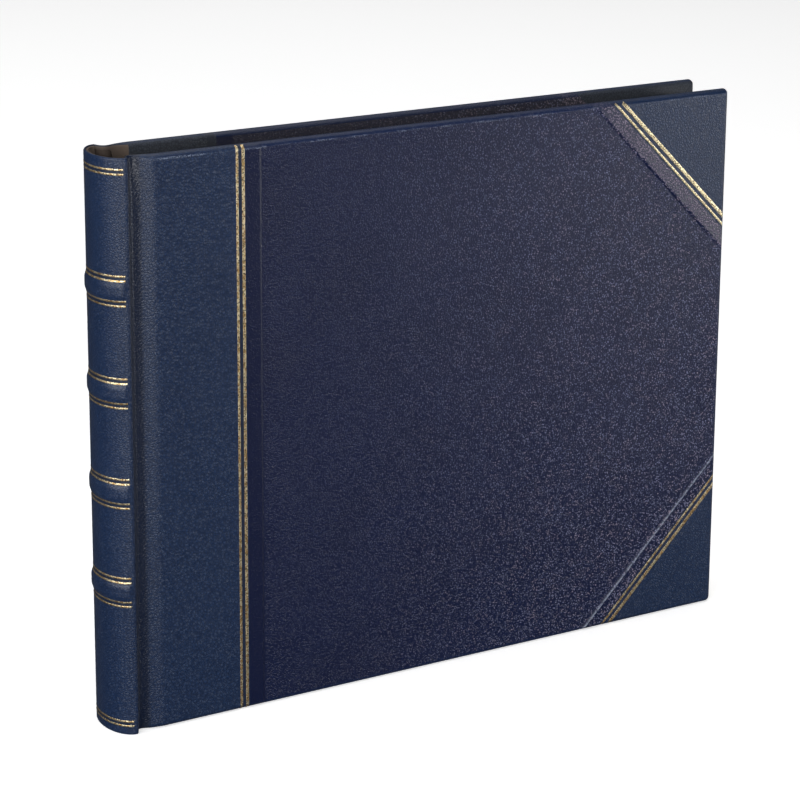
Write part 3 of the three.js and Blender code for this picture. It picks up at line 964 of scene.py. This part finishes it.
for side, mirror in (FRONT, BACK):
    side_sheet(side, mirror)
    for at_head in (True, False):
        corner_leather(side, mirror, at_head)


# ---- Gold lines -------------------------------------------------------------------------------
def cover_surface(x, z):
    """Point and normal of the leather's outer face at a place on the front cover."""
    def level(at_x, at_z):
        u = min(at_z, HEIGHT - at_z, WIDTH - at_x) / EDGE
        half = (FACE - INSIDE) / 2
        for (u0, d0), (u1, d1) in zip(ROUND_OVER, ROUND_OVER[1:]):
            if u0 >= u > u1:
                return -FACE + half * lerp(d0, d1, (u0 - u) / (u0 - u1))
        return -FACE

    step = 0.02
    slope_x = (level(x + step, z) - level(x - step, z)) / (2 * step)
    slope_z = (level(x, z + step) - level(x, z - step)) / (2 * step)
    return Vector((x, level(x, z), z)), Vector((slope_x, -1, slope_z)).normalized()


def eased(length, margin, count):
    """Places along a line, close together near both of its ends."""
    ends = [margin + 0.2 * i for i in range(11)]
    middle = [lerp(ends[-1], length - ends[-1], i / count) for i in range(1, count)]
    return ends + middle + [length - s for s in reversed(ends)]


def gold_lines(side, mirror):
    parts = []
    for x0, half in UPRIGHT_LINES:
        parts.append(
            ribbon(lambda z, t: cover_surface(x0 + t, z), eased(HEIGHT, 0.3, 30), half)
        )
    for leg, half in CORNER_LINES:
        for at_head in (True, False):
            def place(s, t):
                # s runs from the head or tail edge to the fore edge, t across the line
                x = WIDTH - leg + s + t * math.sqrt(0.5)
                drop = s - t * math.sqrt(0.5)
                return cover_surface(x, HEIGHT - drop if at_head else drop)

            parts.append(ribbon(place, eased(leg, 0.85, 14), half))
            if not at_head:
                points, faces = parts[-1]
                parts[-1] = (points, [tuple(reversed(face)) for face in faces])
    obj = make(f"gold_lines_{side}", *merge(parts), GOLD, mirror)
    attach(obj, f"{side}_cover")


def spine_surface(degrees, z):
    a = math.radians(degrees)
    at = Vector((SPINE_X - BULGE * math.cos(a), -SHOULDER * math.sin(a), z))
    normal = Vector((-SHOULDER * math.cos(a), -BULGE * math.sin(a), 0)).normalized()
    return at + normal * band_rise(z, band_share(abs(degrees))), normal


def spine_lines():
    parts = []
    centres = [PAIR_INSET[1], HEIGHT - PAIR_INSET[0]]
    centres += [z + d for z in BANDS for d in (-PAIR_OFFSET, PAIR_OFFSET)]
    along = [lerp(-SPINE_REACH, SPINE_REACH, i / 60) for i in range(61)]
    for centre in centres:
        for z0 in (centre - LINE_STEP, centre + LINE_STEP):
            parts.append(
                ribbon(lambda degrees, t: spine_surface(degrees, z0 + t), along, SPINE_LINE)
            )
    obj = make("gold_lines_spine", *merge(parts), GOLD)
    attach(obj, "text_block")


for side, mirror in (FRONT, BACK):
    gold_lines(side, mirror)
spine_lines()


# ---- Text block -------------------------------------------------------------------------------
def folio(centre, spacing, index, rng):
    """One folded sheet: out along the front leaf, round the fold and back."""
    fold_x = leaf_lo.x + 0.35
    end = leaf_hi.x - rng.random() * 0.25 - 0.12 * (FOLIOS - 1 - index) * 0.3
    low = leaf_lo.z + rng.random() * 0.2
    high = leaf_hi.z - rng.random() * 0.2
    radius = (index + 0.5) * spacing
    half = spacing * 0.42
    reach = [fold_x + NIP * i / 4 for i in range(5)]
    reach += [lerp(fold_x + NIP, end, i / 9) for i in range(1, 10)]
    turn = [math.pi / 2 + math.pi * i / 8 for i in range(1, 8)]

    def leaf(x, r, sign):
        return x, centre + sign * r * lerp(FOLD_SHARE, 1, smooth((x - fold_x) / NIP))

    def path(r):
        front = [leaf(x, r, -1) for x in reversed(reach)]
        bow = r * FOLD_SHARE
        fold = [(fold_x + bow * math.cos(a), centre + bow * math.sin(a)) for a in reversed(turn)]
        return front + fold + [leaf(x, r, 1) for x in reach]

    outer, inner = path(radius + half), path(radius - half)
    phase = rng.random() * 6
    points = []
    rows = 9
    for i in range(rows):
        z = lerp(low, high, i / (rows - 1))
        for x, y in outer + inner[::-1]:
            sway = 0.07 * math.sin(z / 31 + phase * 0.2) * smooth((x - 20) / 200)
            points.append((x, y + sway, z))
    size = len(outer)
    ring = 2 * size
    faces = between(rows, ring)
    for base, turned in ((0, True), ((rows - 1) * ring, False)):
        for j in range(size - 1):
            quad = (base + j, base + j + 1, base + ring - 2 - j, base + ring - 1 - j)
            faces.append(tuple(reversed(quad)) if turned else quad)
    return points, faces


rng = random.Random(SEED)
for name in SECTIONS:
    low, high = span(name)
    centre, thickness = (low.y + high.y) / 2, high.y - low.y
    sheets = [folio(centre, thickness / (2 * FOLIOS), k, rng) for k in range(FOLIOS)]
    obj = make(name.replace("section", "leaves"), *merge(sheets), PAGE, sharp=30)
    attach(obj, name)
    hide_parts(name)


def flyleaf(side, mirror):
    """The free half of the endpaper, slightly cockled."""
    low, high = span("front_flyleaf")
    middle, half = (low.y + high.y) / 2, (high.y - low.y) / 2 * 0.8
    xs = [lerp(low.x, high.x, (j / 24) ** 1.2) for j in range(25)]
    outline = [(x, middle - half) for x in xs] + [(x, middle + half) for x in reversed(xs)]

    def cockled(x, y, z):
        return x, y + 0.09 * math.sin(x / 37 + z / 45) * smooth((x - 10) / 80), z

    heights = [lerp(low.z, high.z, i / 12) for i in range(13)]
    rings = [[cockled(x, y, z) for x, y in outline] for z in heights]
    obj = make(f"flyleaf_{side}", *loft(rings), ENDPAPER, mirror)
    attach(obj, f"{side}_flyleaf")
    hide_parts(f"{side}_flyleaf")


def joint_strip(side, mirror):
    """The endpaper where it crosses the joint, from the text block on to the board."""
    near, far = JOINT_PAPER
    low, high = span("front_pastedown")
    centre = [near.lerp(far, j / 12) for j in range(13)]
    across = (far - near).normalized()
    offset = Vector((across.y, -across.x)) * JOINT_PAPER_HALF
    outline = [p + offset for p in centre] + [p - offset for p in reversed(centre)]
    rings = [[(*p, lerp(low.z, high.z, i / 8)) for p in outline] for i in range(9)]
    obj = make(f"endpaper_joint_{side}", *loft(rings), ENDPAPER, mirror)
    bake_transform(obj)


for side, mirror in (FRONT, BACK):
    flyleaf(side, mirror)
    joint_strip(side, mirror)


# ---- Headbands and sewing ---------------------------------------------------------------------
def worked_band(node, at_head):
    """Silk wound over a core: loops in two colours, from the back over the leaves' edge."""
    low, high = span(node)
    pitch, radius = 0.48, 0.24
    bend = 0.7  # radius of the two bends over the leaves' edge
    count = int((high.y - low.y - 2 * radius) / pitch)
    edge, foot, out = (high.z, low.z, 1) if at_head else (low.z, high.z, -1)
    x_back, x_front = low.x + radius, high.x - bend
    # The loop in x and drop from the edge: up the back, over the edge, down in front.
    loop = []
    for a in (math.pi / 2 * k / 4 for k in range(1, 5)):
        loop.append((x_back + bend * (1 - math.cos(a)), radius + bend * (1 - math.sin(a))))
    loop.append((x_front, radius))
    for a in (math.pi / 2 * k / 5 for k in range(1, 6)):
        core = bend - radius
        loop.append((x_front + core * math.sin(a), bend - core * math.cos(a)))
    parts, picks = [], []
    for i in range(count + 1):
        y = (i - count / 2) * pitch
        path = [Vector((x_back, y, lerp(foot, edge - out * 1.2, t / 6))) for t in range(7)]
        path += [Vector((x, y, edge - out * drop)) for x, drop in loop]
        parts.append(tube(path, radius))
        picks += [i // 3 % 2] * len(parts[-1][1])
    obj = make(f"silk_{node}", *merge(parts), [SILK_DARK, SILK_LIGHT], picks=picks)
    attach(obj, "text_block")
    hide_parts(node)


def kettle_thread(node):
    """Three-ply linen thread running from fold to fold, with a knot at every section."""
    low, high = span(node)
    centre = (low + high) / 2
    length = high.y - low.y
    turns = length / 1.1
    parts = []

    def around(a, y, wide, high):
        return Vector((centre.x + wide * math.cos(a), y, centre.z + high * math.sin(a)))

    for strand in range(3):
        path = []
        for t in (i / 160 for i in range(161)):
            a = 2 * math.pi * (turns * t + strand / 3)
            path.append(around(a, low.y + length * t, 0.08, 0.08))
        parts.append(tube(path, 0.09, 6))
    for name in SECTIONS:
        y = sum(corner.y for corner in span(name)) / 2
        knot = (2 * math.pi * i / 16 for i in range(17))
        path = [around(a, y + 0.12 * (a / math.pi - 1), 0.1, 0.2) for a in knot]
        parts.append(tube(path, 0.08, 6))
    obj = make(f"thread_{node}", *merge(parts), LINEN)
    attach(obj, "text_block")
    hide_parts(node)


worked_band("headband", True)
worked_band("tailband", False)
kettle_thread("kettle_stitch_head")
kettle_thread("kettle_stitch_tail")


# ---- Floor, lights and camera -----------------------------------------------------------------
FLOOR_GLOW = 0.47  # the floor is a light table, lit a little from below


def floor():
    size = 6.0
    mesh = bpy.data.meshes.new("floor")
    corners = [(x * size, y * size, 0) for x, y in ((-1, -1), (1, -1), (1, 1), (-1, 1))]
    mesh.from_pydata(corners, [], [(0, 1, 2, 3)])
    obj = add_object("floor", mesh)
    material = bpy.data.materials.new("pale_floor")
    material.use_nodes = True
    tree = material.node_tree
    bsdf = tree.nodes["Principled BSDF"]
    noise = tree.nodes.new("ShaderNodeTexNoise")
    noise.inputs["Scale"].default_value = 6
    ramp = tree.nodes.new("ShaderNodeValToRGB")
    for element, grey in zip(ramp.color_ramp.elements, (0.93, 0.96)):
        element.color = (grey, grey, grey, 1)
    tree.links.new(noise.outputs["Fac"], ramp.inputs["Fac"])
    tree.links.new(ramp.outputs["Color"], bsdf.inputs["Base Color"])
    for key, value in (
        ("Roughness", 0.9),
        ("Specular IOR Level", 0.1),
        ("Emission Color", (1, 1, 1, 1)),
        ("Emission Strength", FLOOR_GLOW),
    ):
        bsdf.inputs[key].default_value = value
    mesh.materials.append(material)
    obj.visible_glossy = False


def area_light(name, place, size, power):
    """A soft box aimed at the middle of the book."""
    data = bpy.data.lights.new(name, "AREA")
    data.shape = "RECTANGLE"
    data.size, data.size_y = size
    data.energy = power
    obj = add_object(name, data)
    obj.location = place
    aim = Vector((0, 0, 0.1)) - Vector(place)
    obj.rotation_euler = aim.to_track_quat("-Z", "Y").to_euler()
    obj.visible_camera = False


def world():
    """A white backdrop to the eye; only the soft boxes and the floor light the object."""
    made = bpy.data.worlds.new("white_backdrop")
    bpy.context.scene.world = made
    made.use_nodes = True
    tree = made.node_tree
    rays = tree.nodes.new("ShaderNodeLightPath")
    tree.links.new(rays.outputs["Is Camera Ray"], tree.nodes["Background"].inputs["Color"])


def camera():
    data = bpy.data.cameras.new("camera")
    data.sensor_width = 36
    data.lens = 122.75
    data.shift_y = -0.15
    data.clip_start, data.clip_end = 0.05, 30
    obj = add_object("camera", data)
    yaw, pitch, roll = (math.radians(a) for a in (-31.28, 14.72, 0.37))
    level = math.cos(pitch)
    back = Vector((math.sin(yaw) * level, -math.cos(yaw) * level, math.sin(pitch)))
    right = (-back).cross(Vector((0, 0, 1))).normalized()
    up = right.cross(-back)
    side = right * math.cos(roll) + up * math.sin(roll)
    top = up * math.cos(roll) - right * math.sin(roll)
    turn = Matrix((side, top, back)).transposed().to_4x4()
    place = Vector((HINGE_X, -FACE * MM, 0)) + Vector((-377.7, -789.7, 390.9)) * MM
    obj.matrix_world = Matrix.Translation(place) @ turn
    bpy.context.scene.camera = obj


floor()
world()
area_light("front_strip", (-0.434, -1.515, 0.378), (0.25, 0.75), 10)
area_light("low_right", (0.74, -0.49, 0.075), (0.4, 0.12), 1.7)
area_light("left_strip", (-1.21, -1.015, 0.378), (0.2, 0.75), 4.6)
area_light("left", (-1.465, -0.846, 0.716), (0.8, 0.9), 8.2)
area_light("far_left", (-1.448, -0.051, 0.488), (0.6, 0.7), 6.4)
area_light("behind", (0.0, 1.556, 1.656), (1.2, 1.2), 4)
area_light("top", (0.0, 0.0, 2.7), (3.2, 3.2), 50)
camera()
bpy.context.scene.view_settings.view_transform = "Standard"
